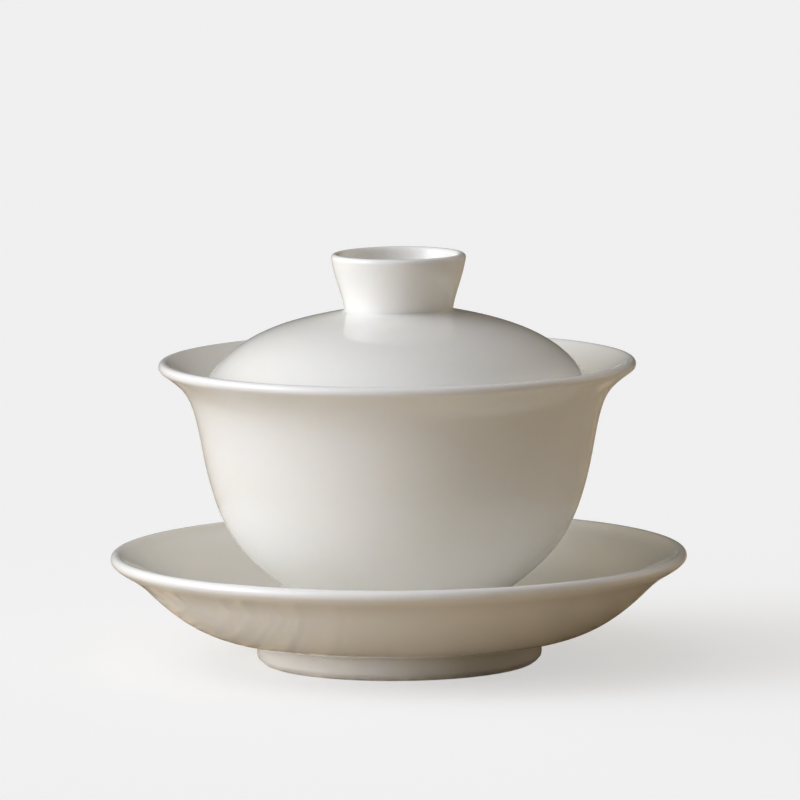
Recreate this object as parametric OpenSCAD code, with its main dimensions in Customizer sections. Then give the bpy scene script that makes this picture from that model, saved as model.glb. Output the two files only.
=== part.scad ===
// Gaiwan: a lidded porcelain tea bowl on a saucer.
// Every piece is turned about the Z axis. Z = 0 is the face of the saucer's foot ring.
// Millimetres.

/* [Saucer] */
// Width across the saucer's lip
saucer_d = 115; // [108:1:124]
// Height of the saucer's lip above the table
saucer_h = 22.3; // [20:0.1:26]
// Thickness of the saucer's lip, which is fully rounded
saucer_wall = 2.4; // [2:0.1:3]
// Width across the saucer's foot ring
saucer_foot_d = 56.8; // [52:0.2:60]
// Height of the foot ring, from the table to where the saucer's underside leaves it
saucer_foot_h = 5; // [4:0.1:6]
// Height of the well's floor, where the bowl stands
well_z = 6; // [5.5:0.1:7]
// Depth of the well below the saucer's flat inside
well_depth = 1.8; // [1:0.1:2.5]
// Room between the bowl's foot and the edge of the well's floor
well_room = 1; // [0.5:0.1:2]

/* [Bowl] */
// Width across the bowl's lip
bowl_d = 95; // [90:1:102]
// Height of the bowl, from its foot to its lip
bowl_h = 54.6; // [52:0.1:60]
// Thickness of the bowl's lip, which is fully rounded
bowl_wall = 2.2; // [1.8:0.1:2.6]
// Width of the bowl's body at its waist, under the flare
bowl_waist_d = 78; // [74:0.5:81]
// Height of the waist above the bowl's foot
bowl_waist_h = 37.3; // [34:0.1:40]
// Width across the bowl's foot ring
bowl_foot_d = 41; // [38:0.5:44]
// Height of the bowl's foot ring
bowl_foot_h = 7.4; // [6:0.1:8]
// Height of the bowl's inside floor above its foot
bowl_floor_h = 8; // [7:0.1:9]

/* [Lid] */
// Width of the lid's rim
lid_d = 78.8; // [77:0.1:82]
// Room all round between the lid's rim and the bowl's inside
lid_room = 0.35; // [0.25:0.05:0.6]
// Height from the lid's rim to the seat of its knob
lid_rise = 17.1; // [15:0.1:20]
// Thickness of the lid's rim, which is fully rounded
lid_wall = 2.2; // [1.8:0.1:2.6]

/* [Knob] */
// Width across the knob's lip
knob_d = 27; // [24:0.5:30]
// Width of the knob's base
knob_base_d = 21.7; // [18:0.1:23]
// Height of the knob
knob_h = 10.8; // [8:0.1:14]
// Thickness of the knob's lip, which is fully rounded
knob_wall = 1.8; // [1.4:0.1:2.4]

/* [Hidden] */
// Ivory-white porcelain under a clear glaze
glaze = [0.90, 0.88, 0.83];
// How finely the pieces are turned, and their outlines are drawn
turn_fn = 180;
run_steps = 20;
fillet_steps = 5;
arc_steps = 8;

// How steeply each wall leaves its lip, in degrees from level
saucer_lip_slope = 48;
bowl_lip_slope = 36;
lid_rim_slope = 63;
lid_crown_slope = 12;
knob_lip_slope = 80;
// How steeply the knob's wall leaves the fillet at its base
knob_base_slope = 81;

// The steepest point of the saucer's wall, measured in and down from its lip
saucer_bend = [saucer_d / 2 - 7.4, saucer_h - 7.3];
saucer_bend_slope = 45;
saucer_mid_wall = 2.5;
// The heel is where the underside leaves the foot ring
saucer_heel = [saucer_foot_d / 2 + 1, saucer_foot_h];
saucer_heel_slope = 6;
saucer_foot_width = 3.8;
saucer_recess = 3;
// The well's floor ends at its edge, and rises to its shoulder
well_edge = [bowl_foot_d / 2 + well_room, well_z];
well_shoulder = well_edge + [2.6, well_depth];

bowl_top = well_z + bowl_h;
bowl_waist = [bowl_waist_d / 2, well_z + bowl_waist_h];
bowl_waist_slope = 80;
bowl_mid_wall = 2.3;
bowl_heel = [bowl_foot_d / 2 + 0.1, well_z + bowl_foot_h];
bowl_heel_slope = 40;
bowl_foot_width = 3;
bowl_recess = 4.4;

// Thickness of the lid's crown under the knob, and of the knob's own floor
crown_wall = 2.6;
knob_floor = 1.4;

// Direction at an angle from level, in the half plane of the outlines: [radius, height]
function heading(angle) = [cos(angle), sin(angle)];

// Smooth run from one point to another, with a heading at each end held over a reach
function run(from, leave, leave_reach, to, arrive, arrive_reach, steps = run_steps) =
    let (
        a = from + leave_reach * heading(leave),
        b = to - arrive_reach * heading(arrive)
    )
    [
        for (i = [0 : steps])
            let (t = i / steps, s = 1 - t)
            s * s * s * from + 3 * s * s * t * a + 3 * s * t * t * b + t * t * t * to
    ];

// Arc about a centre, between two angles
function arc(centre, radius, from, to) =
    [for (i = [0 : arc_steps]) centre + radius * heading(from + (to - from) * i / arc_steps)];

// Points on either side of a wall that rises outward at a slope
function outside(point, slope, distance) = point + distance * heading(slope - 90);
function inside(point, slope, distance) = point + distance * heading(slope + 90);

// An outline without the points that two neighbouring runs share
function joined(points) =
    [for (i = [0 : len(points) - 1]) if (i == 0 || norm(points[i] - points[i - 1]) > 0.01) points[i]];

// Foot ring from the axis outward: recess, inner edge, flat face and rounded outer edge
function foot_ring(radius, width, base, recess, inner_round, outer_round) =
    concat(
        [[0, base + recess]],
        arc([radius - width - inner_round, base + recess - inner_round], inner_round, 90, 0),
        arc([radius - width + inner_round, base + inner_round], inner_round, 180, 270),
        arc([radius - outer_round, base + outer_round], outer_round, -90, 0)
    );

// Middles of the fully rounded lips
saucer_lip = [saucer_d / 2 - saucer_wall / 2, saucer_h - saucer_wall / 2];
bowl_lip = [bowl_d / 2 - bowl_wall / 2, bowl_top - bowl_wall / 2];

// The bowl's inside, from its lip down to the middle of its floor
bowl_waist_inside = inside(bowl_waist, bowl_waist_slope, bowl_mid_wall);
bowl_inside = concat(
    run(inside(bowl_lip, bowl_lip_slope, bowl_wall / 2), 181 + bowl_lip_slope, 5.9,
        bowl_waist_inside, 180 + bowl_waist_slope, 10.8),
    run(bowl_waist_inside, 180 + bowl_waist_slope, 22.5, [0, well_z + bowl_floor_h], 180, 22)
);

// The lid's rim comes to rest where the bowl's inside is only lid_room wider than the lid
lid_z = lookup(lid_d / 2 + lid_room, bowl_inside);
lid_rim = [lid_d / 2 - lid_wall / 2, lid_z];
seat_z = lid_z + lid_rise;
knob_top = seat_z + knob_h;
knob_lip = [knob_d / 2 - knob_wall / 2, knob_top - knob_wall / 2];

module saucer() {
    outline = concat(
        foot_ring(saucer_foot_d / 2, saucer_foot_width, 0, saucer_recess, 0.6, 2),
        run([saucer_foot_d / 2, saucer_heel.y - 0.9], 90, 0.5,
            saucer_heel, saucer_heel_slope, 0.5, fillet_steps),
        run(saucer_heel, saucer_heel_slope, 5.5, saucer_bend, saucer_bend_slope, 13),
        run(saucer_bend, saucer_bend_slope, 4.9,
            outside(saucer_lip, saucer_lip_slope, saucer_wall / 2), saucer_lip_slope, 2.2),
        arc(saucer_lip, saucer_wall / 2, saucer_lip_slope - 90, saucer_lip_slope + 90),
        run(inside(saucer_lip, saucer_lip_slope, saucer_wall / 2), 180 + saucer_lip_slope, 2.4,
            inside(saucer_bend, saucer_bend_slope, saucer_mid_wall), 180 + saucer_bend_slope, 4.9),
        run(inside(saucer_bend, saucer_bend_slope, saucer_mid_wall), 180 + saucer_bend_slope, 11.5,
            well_shoulder, 181, 9),
        run(well_shoulder, 181, 1.6, well_edge, 180, 1.4, 2 * fillet_steps),
        [[0, well_z]]
    );
    color(glaze)
        rotate_extrude($fn = turn_fn)
            polygon(joined(outline));
}

module bowl() {
    outline = concat(
        foot_ring(bowl_foot_d / 2, bowl_foot_width, well_z, bowl_recess, 0.6, 1),
        run([bowl_foot_d / 2, bowl_heel.y - 1], 90, 0.5,
            bowl_heel, bowl_heel_slope, 0.4, fillet_steps),
        run(bowl_heel, bowl_heel_slope, 11, bowl_waist, bowl_waist_slope, 20.9),
        run(bowl_waist, bowl_waist_slope, 10.8,
            outside(bowl_lip, bowl_lip_slope, bowl_wall / 2), bowl_lip_slope, 6.4),
        arc(bowl_lip, bowl_wall / 2, bowl_lip_slope - 90, bowl_lip_slope + 90),
        bowl_inside
    );
    color(glaze)
        rotate_extrude($fn = turn_fn)
            polygon(joined(outline));
}

module lid() {
    shoulder = [knob_base_d / 2 + 1.15, seat_z - 0.85];
    outline = concat(
        run([0, seat_z - crown_wall], 0, 18, inside(lid_rim, 180 - lid_rim_slope, lid_wall / 2),
            -lid_rim_slope, 11.5),
        arc(lid_rim, lid_wall / 2, -lid_rim_slope - 90, 90 - lid_rim_slope),
        run(outside(lid_rim, 180 - lid_rim_slope, lid_wall / 2), 180 - lid_rim_slope, 12.8,
            shoulder, 180 - lid_crown_slope, 9.7),
        run(shoulder, 180 - lid_crown_slope, 0.6,
            [knob_base_d / 2, seat_z], knob_base_slope, 0.5, fillet_steps),
        [[0, seat_z]]
    );
    color(glaze)
        rotate_extrude($fn = turn_fn)
            polygon(joined(outline));
}

module lid_knob() {
    outline = concat(
        [[0, seat_z]],
        run([knob_base_d / 2, seat_z], knob_base_slope, 2.9,
            outside(knob_lip, knob_lip_slope, knob_wall / 2), knob_lip_slope, 4.1),
        arc(knob_lip, knob_wall / 2, knob_lip_slope - 90, knob_lip_slope + 90),
        run(inside(knob_lip, knob_lip_slope, knob_wall / 2), 180 + knob_lip_slope, 7.5,
            [0, seat_z + knob_floor], 180, 9)
    );
    color(glaze)
        rotate_extrude($fn = turn_fn)
            polygon(joined(outline));
}

saucer();
bowl();
lid();
lid_knob();
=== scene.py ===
import math
from collections import defaultdict

import bmesh
import bpy
from mathutils import Matrix, Vector, noise


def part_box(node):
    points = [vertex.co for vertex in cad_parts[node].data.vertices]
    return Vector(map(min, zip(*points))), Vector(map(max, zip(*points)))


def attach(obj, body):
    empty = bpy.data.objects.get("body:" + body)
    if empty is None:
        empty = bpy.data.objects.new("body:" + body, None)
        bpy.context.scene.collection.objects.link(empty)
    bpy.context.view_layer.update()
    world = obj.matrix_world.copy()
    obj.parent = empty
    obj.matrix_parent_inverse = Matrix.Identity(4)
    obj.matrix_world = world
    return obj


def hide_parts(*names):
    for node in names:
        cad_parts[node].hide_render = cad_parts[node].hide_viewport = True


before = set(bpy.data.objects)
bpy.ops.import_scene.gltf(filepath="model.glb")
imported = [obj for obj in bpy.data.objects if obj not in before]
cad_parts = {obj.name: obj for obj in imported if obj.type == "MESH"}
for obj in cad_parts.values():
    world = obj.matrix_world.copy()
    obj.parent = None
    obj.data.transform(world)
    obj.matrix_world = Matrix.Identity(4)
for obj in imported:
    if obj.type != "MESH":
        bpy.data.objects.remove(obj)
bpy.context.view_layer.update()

MM = 0.001
# Sides of a full turn
SEGMENTS = 240
# A point nearer the axis than this lies on it
ON_AXIS = 1e-7
# How far to either side of a point of an outline its bend is measured
BEND_SPAN = 0.9 * MM


# ------------------------------------------------------------ outlines, read from the CAD nodes


def outline(node):
    """A CAD node's half section as (radius, height) points, from the axis below to the axis above.

    The nodes are turned solids, so their vertices lie in rings. Each ring is one point of the outline,
    and the edges between rings give the order.
    """
    # Vertices this close are one, those in one cell of the grid make a ring, and a smaller ring is a stray
    weld = 1e-6
    grid = 0.0137 * MM
    full_ring = 12
    bm = bmesh.new()
    bm.from_mesh(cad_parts[node].data)
    bmesh.ops.remove_doubles(bm, verts=bm.verts, dist=weld)
    ring_of, rings = {}, defaultdict(list)
    for vert in bm.verts:
        radius = math.hypot(vert.co.x, vert.co.y)
        ring = (round(radius / grid), round(vert.co.z / grid))
        ring_of[vert] = ring
        rings[ring].append(Vector((radius, vert.co.z)))
    rings = {k: m for k, m in rings.items() if k[0] == 0 or len(m) >= full_ring}
    beside = defaultdict(set)
    for edge in bm.edges:
        a, b = (ring_of[v] for v in edge.verts)
        if a != b and a in rings and b in rings:
            beside[a].add(b)
            beside[b].add(a)
    bm.free()
    ends = sorted((k for k in rings if len(beside[k]) == 1), key=lambda k: k[1])
    walk = [ends[0]]
    while walk[-1] != ends[1]:
        walk.append(next(k for k in sorted(beside[walk[-1]]) if k not in walk[-2:]))
    points = [rings[k][0] for k in walk]
    return [Vector((0, points[0].y)), *points, Vector((0, points[-1].y))]


def without_repeats(points):
    """The points, without those that lie on the one before."""
    kept = [points[0]]
    for point in points[1:]:
        if (point - kept[-1]).length > 0.01 * MM:
            kept.append(point)
    return kept


def smoothed(points, step, corner=math.radians(40), bend=math.radians(5)):
    """The outline as a smooth curve through its points, and the places on it of its corners.

    Its pieces are at most one step long and turn at most about one bend.
    """
    points = without_repeats(points)
    last = len(points) - 1
    chords = [points[i + 1] - points[i] for i in range(last)]
    sharp = [i for i in range(1, last) if chords[i - 1].angle(chords[i]) > corner]

    def tangent(i):
        """Direction of the curve at a point that isn't a corner."""
        before, after = chords[i - 1], chords[i]
        return (before.normalized() * after.length + after.normalized() * before.length).normalized()

    def end_tangent(i, other):
        """Direction of the curve where it ends at a corner: it goes on turning as it did before."""
        chord = chords[i].normalized()
        if other in (0, last) or other in sharp:
            return chord
        turned_before = tangent(other)
        return 2 * chord.dot(turned_before) * chord - turned_before

    low = Vector((min(p.x for p in points), min(p.y for p in points)))
    high = Vector((max(p.x for p in points), max(p.y for p in points)))
    curve, corners = [], []
    for i, chord in enumerate(chords):
        leave = end_tangent(i, i + 1) if i == 0 or i in sharp else tangent(i)
        arrive = end_tangent(i, i) if i + 1 == last or i + 1 in sharp else tangent(i + 1)
        if i in sharp:
            corners.append(len(curve))
        parts = max(math.ceil(chord.length / step), math.ceil(leave.angle(arrive) / bend), 1)
        for k in range(parts):
            t = k / parts
            place = (
                points[i] * (2 * t**3 - 3 * t**2 + 1)
                + leave * chord.length * (t**3 - 2 * t**2 + t)
                + points[i + 1] * (3 * t**2 - 2 * t**3)
                + arrive * chord.length * (t**3 - t**2)
            )
            curve.append(Vector((min(max(place.x, low.x), high.x), min(max(place.y, low.y), high.y))))
    curve.append(points[-1])
    return curve, corners


def ramp(value, low, high):
    """0 at low, 1 at high, and smooth between."""
    t = min(max((value - low) / (high - low), 0), 1)
    return t * t * (3 - 2 * t)


# ------------------------------------------------------------ turned pieces


def normals(curve):
    """Outward normal at each point of an outline that runs from below, outward and over the lip."""
    result = []
    for i in range(len(curve)):
        along = curve[min(i + 1, len(curve) - 1)] - curve[max(i - 1, 0)]
        result.append(Vector((along.y, -along.x)).normalized())
    return result


def curl(curve, corners, span):
    """How the outline bends at each point, per metre: above 0 on lips and edges, below 0 in hollows.

    A corner isn't counted: it is where another piece joins on.
    """
    at = [0.0]
    for a, b in zip(curve, curve[1:]):
        at.append(at[-1] + (b - a).length)
    stops = {0, len(curve) - 1, *corners}
    result = []
    for i, here in enumerate(at):
        low, high = i, i
        while low not in stops and here - at[low] < span:
            low -= 1
        while high not in stops and at[high] - here < span:
            high += 1
        before, after = curve[i] - curve[low], curve[high] - curve[i]
        if before.length == 0 or after.length == 0:
            result.append(0.0)
            continue
        turn = math.atan2(before.x * after.y - before.y * after.x, before.dot(after))
        result.append(turn / ((at[high] - at[low]) / 2))
    for i in corners:
        result[i] = (result[i - 1] + result[i + 1]) / 2
    return result


def centred(point):
    """No shift: the piece is turned true."""
    return 0.0


def turned(name, node, relief, bare, aside=centred, step=0.8 * MM):
    """A turned piece on a CAD node's outline.

    relief(point, angle) is how far the surface lies under the outline, aside(point) how far it is off
    centre along X, and bare(point, angle) is 1 where the piece has no glaze. The last is kept on the mesh
    for the material, with how the outline bends.
    """
    curve, corners = smoothed(outline(node), step)
    outward = normals(curve)
    bend = curl(curve, corners, BEND_SPAN)
    mesh = bpy.data.meshes.new(name)
    verts, faces, bare_at, bend_at = [], [], [], []
    for i, point in enumerate(curve):
        on_axis = point.x < ON_AXIS
        for k in range(1 if on_axis else SEGMENTS):
            angle = 2 * math.pi * k / SEGMENTS
            place = point - outward[i] * relief(point, angle)
            radius = 0 if on_axis else place.x
            verts.append((radius * math.cos(angle) + aside(point), radius * math.sin(angle), place.y))
            bare_at.append(bare(point, angle))
            bend_at.append(bend[i])
    starts, total = [], 0
    for point in curve:
        starts.append(total)
        total += 1 if point.x < ON_AXIS else SEGMENTS
    for i in range(len(curve) - 1):
        a, b = starts[i], starts[i + 1]
        for k in range(SEGMENTS):
            n = (k + 1) % SEGMENTS
            if curve[i].x < ON_AXIS:
                faces.append((a, b + n, b + k))
            elif curve[i + 1].x < ON_AXIS:
                faces.append((a + k, a + n, b))
            else:
                faces.append((a + k, a + n, b + n, b + k))
    mesh.from_pydata(verts, [], faces)
    mesh.polygons.foreach_set("use_smooth", [True] * len(faces))
    at_corner = {starts[i] + k for i in corners for k in range(SEGMENTS)}
    sharp = [all(v in at_corner for v in edge.vertices) for edge in mesh.edges]
    mesh.attributes.new("sharp_edge", "BOOLEAN", "EDGE").data.foreach_set("value", sharp)
    for key, values in (("bare", bare_at), ("bend", bend_at)):
        mesh.attributes.new(key, "FLOAT", "POINT").data.foreach_set("value", values)
    mesh.validate()
    piece = bpy.data.objects.new(name, mesh)
    bpy.context.scene.collection.objects.link(piece)
    return piece


def out_of_round(angle, depth, turns, phase):
    """A slight oval or three-lobed sag of a fired rim, always inward."""
    return depth * (1 + math.cos(turns * angle + phase)) / 2


# ------------------------------------------------------------ nodes


class Graph:
    """A material's or world's node tree, with short calls to add and join nodes."""

    def __init__(self, owner):
        owner.use_nodes = True
        self.tree = owner.node_tree
        self.tree.nodes.clear()

    def add(self, kind, values=None, **settings):
        """A new node, with inputs set to plain values or joined to other nodes' outputs."""
        node = self.tree.nodes.new(kind)
        for key, value in settings.items():
            setattr(node, key, value)
        for key, value in (values or {}).items():
            if isinstance(value, bpy.types.NodeSocket):
                self.tree.links.new(value, node.inputs[key])
            else:
                node.inputs[key].default_value = value
        return node

    def math(self, operation, *values):
        return self.add("ShaderNodeMath", dict(enumerate(values)), operation=operation).outputs[0]

    def mix(self, factor, a, b):
        """Colour a where the factor is 0, b where it is 1."""
        node = self.add("ShaderNodeMix", data_type="RGBA")
        for index, value in ((0, factor), (6, a), (7, b)):
            if isinstance(value, bpy.types.NodeSocket):
                self.tree.links.new(value, node.inputs[index])
            else:
                node.inputs[index].default_value = value
        return node.outputs[2]

    def span(self, value, low, high, to_low=0.0, to_high=1.0):
        """The range from low to high, mapped smoothly on to another."""
        values = {"Value": value, "From Min": low, "From Max": high, "To Min": to_low, "To Max": to_high}
        return self.add("ShaderNodeMapRange", values, interpolation_type="SMOOTHSTEP").outputs[0]


def rgb(red, green, blue):
    return (red, green, blue, 1.0)


# ------------------------------------------------------------ materials

IVORY = rgb(0.95, 0.935, 0.885)
THIN = rgb(0.945, 0.94, 0.91)
POOLED = rgb(0.92, 0.895, 0.82)
BODY = rgb(0.88, 0.85, 0.78)
SPECK = rgb(0.40, 0.32, 0.22)


def porcelain(name):
    """Ivory-white porcelain under a clear glaze, bare where the mesh says so."""
    material = bpy.data.materials.new(name)
    g = Graph(material)
    where = g.add("ShaderNodeTexCoord").outputs["Object"]
    bare = g.add("ShaderNodeAttribute", attribute_name="bare").outputs["Fac"]
    bend = g.add("ShaderNodeAttribute", attribute_name="bend").outputs["Fac"]

    def cloud(scale, detail=2.0):
        values = {"Vector": where, "Scale": scale, "Detail": detail}
        return g.add("ShaderNodeTexNoise", values).outputs["Fac"]

    # Colour: slow change of tone, paler on edges where the glaze is thin, deeper where it pools
    tone = g.mix(g.span(cloud(45), 0.3, 0.7, 0.0, 0.22), IVORY, POOLED)
    tone = g.mix(g.span(bend, 150, 900, 0.0, 0.8), tone, THIN)
    tone = g.mix(g.span(bend, -120, -900, 0.0, 0.85), tone, POOLED)
    # Pinpoint iron specks, far apart
    cells = g.add("ShaderNodeTexVoronoi", {"Vector": where, "Scale": 110.0})
    pick = g.add("ShaderNodeSeparateColor", {"Color": cells.outputs["Color"]}).outputs["Red"]
    speck = g.math("MULTIPLY", g.math("GREATER_THAN", pick, 0.93),
                   g.span(cells.outputs["Distance"], 0.022, 0.010))
    tone = g.mix(g.math("MULTIPLY", speck, 0.5), tone, SPECK)
    tone = g.mix(bare, tone, g.mix(g.span(cloud(2200, 3.0), 0.35, 0.65), BODY, POOLED))

    # Gloss: clear glaze, slightly uneven; the bare body is matt
    gloss = g.span(cloud(160), 0.3, 0.7, 0.02, 0.05)
    rough = g.math("ADD", g.math("MULTIPLY", gloss, g.math("SUBTRACT", 1.0, bare)),
                   g.math("MULTIPLY", bare, 0.6))

    # Relief: long soft waves of the glaze, a faint orange peel, and the grain of the bare body
    waves = cloud(70, 1.0)
    peel = g.math("MULTIPLY", cloud(420, 1.0), 0.05)
    grain = g.math("MULTIPLY", g.math("MULTIPLY", cloud(3000, 3.0), bare), 1.5)
    height = g.math("ADD", g.math("ADD", waves, peel), grain)
    bump = g.add("ShaderNodeBump", {"Height": height, "Strength": 1.0, "Distance": 0.02 * MM})

    shader = g.add("ShaderNodeBsdfPrincipled", {
        "Base Color": tone, "Roughness": rough, "Normal": bump.outputs[0],
        "IOR": 1.58, "Subsurface Weight": 0.25, "Subsurface Radius": (1.0, 0.75, 0.5),
        "Subsurface Scale": 0.8 * MM,
    })
    g.add("ShaderNodeOutputMaterial", {"Surface": shader.outputs[0]})
    return material


def pale_paper(name):
    """Matt white of the floor, which glows a little so that shadows stay soft and pale."""
    material = bpy.data.materials.new(name)
    g = Graph(material)
    shader = g.add("ShaderNodeBsdfPrincipled", {
        "Base Color": rgb(0.5, 0.5, 0.5), "Roughness": 1.0, "Specular IOR Level": 0.0,
        "Emission Color": rgb(1.0, 1.0, 1.0), "Emission Strength": 0.55})
    g.add("ShaderNodeOutputMaterial", {"Surface": shader.outputs[0]})
    return material


def grained_wood(name):
    """Matt wood with its grain along Y. Only its light and its reflection in the glaze are seen."""
    material = bpy.data.materials.new(name)
    g = Graph(material)
    where = g.add("ShaderNodeTexCoord").outputs["Object"]
    along = g.add("ShaderNodeMapping", {"Vector": where, "Scale": (1.0, 0.03, 1.0)}).outputs[0]
    lines = g.add("ShaderNodeTexNoise", {"Vector": along, "Scale": 700.0, "Detail": 3.0}).outputs["Fac"]
    tone = g.mix(g.span(lines, 0.35, 0.65), rgb(0.22, 0.17, 0.10), rgb(0.82, 0.67, 0.47))
    shader = g.add("ShaderNodeBsdfPrincipled", {
        "Base Color": tone, "Roughness": 1.0, "Specular IOR Level": 0.0})
    g.add("ShaderNodeOutputMaterial", {"Surface": shader.outputs[0]})
    return material


# ------------------------------------------------------------ the gaiwan

# The glaze ends this far above a foot's face, in a line that wavers by up to about this share of it
GLAZE_LINE = 1.1 * MM
GLAZE_WAVER = 0.16
# It fades out over this much to either side of the line
GLAZE_EDGE = 0.08 * MM
# The bare side lies this far under the outline, from this height above the face, which stays in place
GLAZE_THICKNESS = 0.1 * MM
SINK_HEIGHT = 0.3 * MM
# The knob was put on by hand, a little to the right of the lid's middle
KNOB_ASIDE = 0.4 * MM
# The lid's crown goes with it up to this radius, and the lid is true again from the next
CROWN_END = 12 * MM
TRUE_FROM = 24 * MM
# The lid sags out of round between these two radii, and most at its rim
SAG_START = 10 * MM
SAG_END = 40 * MM


def foot_edge(low_edge):
    """A test for the bare edge of a foot ring: 1 below a slightly wavy glaze line, 0 above it."""
    waves_round = 3
    own_waves = low_edge * 50

    def bare(point, angle):
        if point.y > low_edge + 3 * GLAZE_LINE:
            return 0.0
        place = Vector((math.cos(angle) * waves_round, math.sin(angle) * waves_round, own_waves))
        line = low_edge + GLAZE_LINE * (1 + GLAZE_WAVER * noise.noise(place))
        return 1 - ramp(point.y, line - GLAZE_EDGE, line + GLAZE_EDGE)
    return bare


def saucer():
    """The saucer: slightly oval towards its lip, with a bare foot edge."""
    low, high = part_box("saucer")
    bare = foot_edge(low.z)

    def relief(point, angle):
        rim = ramp(point.x, 0.5 * high.x, high.x)
        side = ramp(point.y, low.z, low.z + SINK_HEIGHT)
        return (rim * out_of_round(angle, depth=0.09 * MM, turns=2, phase=0.7)
                + bare(point, angle) * side * GLAZE_THICKNESS)
    return turned("saucer_porcelain", "saucer", relief, bare)


def bowl():
    """The bowl: slightly oval towards its lip, with a bare foot edge."""
    low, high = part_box("bowl")
    bare = foot_edge(low.z)

    def relief(point, angle):
        rim = ramp(point.y, low.z + 0.6 * (high.z - low.z), high.z)
        side = ramp(point.y, low.z, low.z + SINK_HEIGHT)
        return (rim * out_of_round(angle, depth=0.05 * MM, turns=2, phase=2.1)
                + bare(point, angle) * side * GLAZE_THICKNESS)
    return turned("bowl_porcelain", "bowl", relief, bare)


def glazed(point, angle):
    """The lid and its knob are glazed all over."""
    return 0.0


def lid():
    """The lid: its rim sags in three lobes, and its crown goes with the knob."""
    def relief(point, angle):
        rim = ramp(point.x, SAG_START, SAG_END)
        return rim * out_of_round(angle, depth=0.03 * MM, turns=3, phase=1.2)

    def aside(point):
        return KNOB_ASIDE * (1 - ramp(point.x, CROWN_END, TRUE_FROM))
    return turned("lid_porcelain", "lid", relief, glazed, aside)


def lid_knob():
    """The knob: slightly oval towards its lip, and a little aside."""
    low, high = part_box("lid_knob")

    def relief(point, angle):
        rim = ramp(point.y, low.z, high.z)
        return rim * out_of_round(angle, depth=0.08 * MM, turns=2, phase=0.3)

    def aside(point):
        return KNOB_ASIDE
    return turned("lid_knob_porcelain", "lid_knob", relief, glazed, aside, step=0.5 * MM)


porcelain_glaze = porcelain("ivory_porcelain")
for build, body, node in ((saucer, "saucer", "saucer"), (bowl, "bowl", "bowl"),
                          (lid, "lid", "lid"), (lid_knob, "lid", "lid_knob")):
    piece = build()
    piece.data.materials.append(porcelain_glaze)
    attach(piece, body)
    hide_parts(node)


# ------------------------------------------------------------ camera

# The lens and the sensor are in millimetres, as Blender has them
CAMERA_LENS = 384.6
CAMERA_SENSOR = 36
CAMERA_DISTANCE = 1.70
CAMERA_PITCH = math.radians(7)
CAMERA_ROLL = math.radians(-0.45)
AIM = Vector((0.0005, 0, 0.0524))

camera = bpy.data.objects.new("camera", bpy.data.cameras.new("camera"))
camera.data.sensor_width = CAMERA_SENSOR
camera.data.lens = CAMERA_LENS
camera.data.clip_end = 100
back = Vector((0, -math.cos(CAMERA_PITCH), math.sin(CAMERA_PITCH)))
camera.location = AIM + back * CAMERA_DISTANCE
camera.rotation_mode = "QUATERNION"
camera.rotation_quaternion = (-back).to_track_quat("-Z", "Y") @ Matrix.Rotation(
    CAMERA_ROLL, 4, "Z").to_quaternion()
bpy.context.scene.collection.objects.link(camera)
bpy.context.scene.camera = camera


# ------------------------------------------------------------ stage and light


def floor(name, size, material):
    """A level square under the saucer's foot, which is part of the stage."""
    mesh = bpy.data.meshes.new(name)
    half = size / 2
    mesh.from_pydata([(-half, -half, 0), (half, -half, 0), (half, half, 0), (-half, half, 0)],
                     [], [(0, 1, 2, 3)])
    plane = bpy.data.objects.new(name, mesh)
    plane.data.materials.append(material)
    bpy.context.scene.collection.objects.link(plane)
    return plane


FLOOR_SIZE = 40
TABLE_SIZE = 3
# How far the table lies below the floor
TABLE_BELOW = 0.2 * MM

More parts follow.
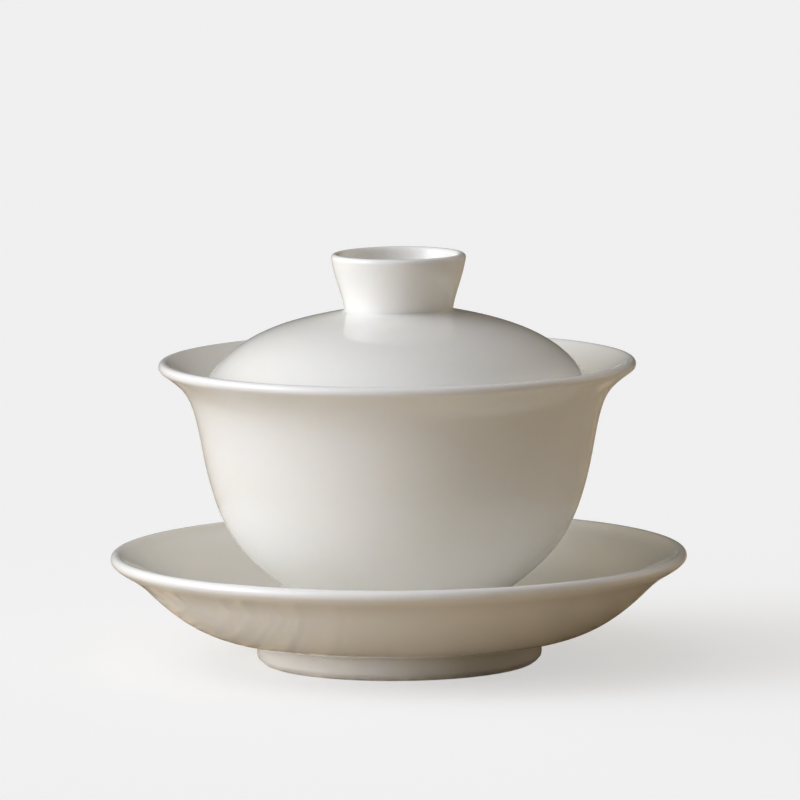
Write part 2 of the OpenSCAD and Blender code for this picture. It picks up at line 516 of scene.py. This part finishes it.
# The camera sees only the pale floor, and light and reflections see only the table
pale = floor("pale_floor", FLOOR_SIZE, pale_paper("pale_floor"))
pale.visible_diffuse = False
pale.visible_glossy = False
pale.visible_shadow = False
table = floor("table_below", TABLE_SIZE, grained_wood("table_below"))
table.visible_camera = False
table.visible_shadow = False
table.location.z = -TABLE_BELOW

# Soft lights round the object: azimuth (0 is in front, 90 on the right), elevation, colour, how tight
LIGHTS = [
    # The upper and the lower half of a cool window on the left, and the warm wall round it
    (-75, 26, (3.1, 3.5, 4.4), 16),
    (-70, -2, (2.6, 2.7, 3.1), 14),
    (-95, 15, (0.95, 0.85, 0.6), 3),
    # The ceiling, and a warm lamp on the right
    (-40, 65, (0.65, 0.65, 0.7), 5),
    (110, 15, (1.0, 0.85, 0.7), 10),
]


def direction(azimuth, elevation):
    """The unit vector towards a light."""
    a, e = math.radians(azimuth), math.radians(elevation)
    return Vector((math.sin(a) * math.cos(e), -math.cos(a) * math.cos(e), math.sin(e)))


def soft_room(lights, ambient, seen):
    """The light of the room: soft round glows in an even ambient, and a plain colour for the camera."""
    world = bpy.data.worlds.new("soft_room")
    bpy.context.scene.world = world
    g = Graph(world)
    looking = g.add("ShaderNodeTexCoord").outputs["Generated"]
    total = None
    for azimuth, elevation, colour, tightness in lights:
        facing = g.add("ShaderNodeVectorMath", {0: looking, 1: direction(azimuth, elevation)},
                       operation="DOT_PRODUCT").outputs["Value"]
        glow = g.math("EXPONENT", g.math("MULTIPLY", g.math("SUBTRACT", facing, 1.0), tightness))
        part = g.add("ShaderNodeVectorMath", {0: colour, "Scale": glow}, operation="SCALE").outputs[0]
        total = part if total is None else g.add(
            "ShaderNodeVectorMath", {0: total, 1: part}, operation="ADD").outputs[0]
    total = g.add("ShaderNodeVectorMath", {0: total, 1: ambient}, operation="ADD").outputs[0]
    is_seen = g.add("ShaderNodeLightPath").outputs["Is Camera Ray"]
    light = g.add("ShaderNodeBackground", {"Color": g.mix(is_seen, total, seen)})
    g.add("ShaderNodeOutputWorld", {"Surface": light.outputs[0]})


AMBIENT = (0.02, 0.02, 0.02)
BACKDROP = rgb(0.87, 0.87, 0.87)
soft_room(LIGHTS, AMBIENT, BACKDROP)
bpy.context.scene.view_settings.view_transform = "Standard"
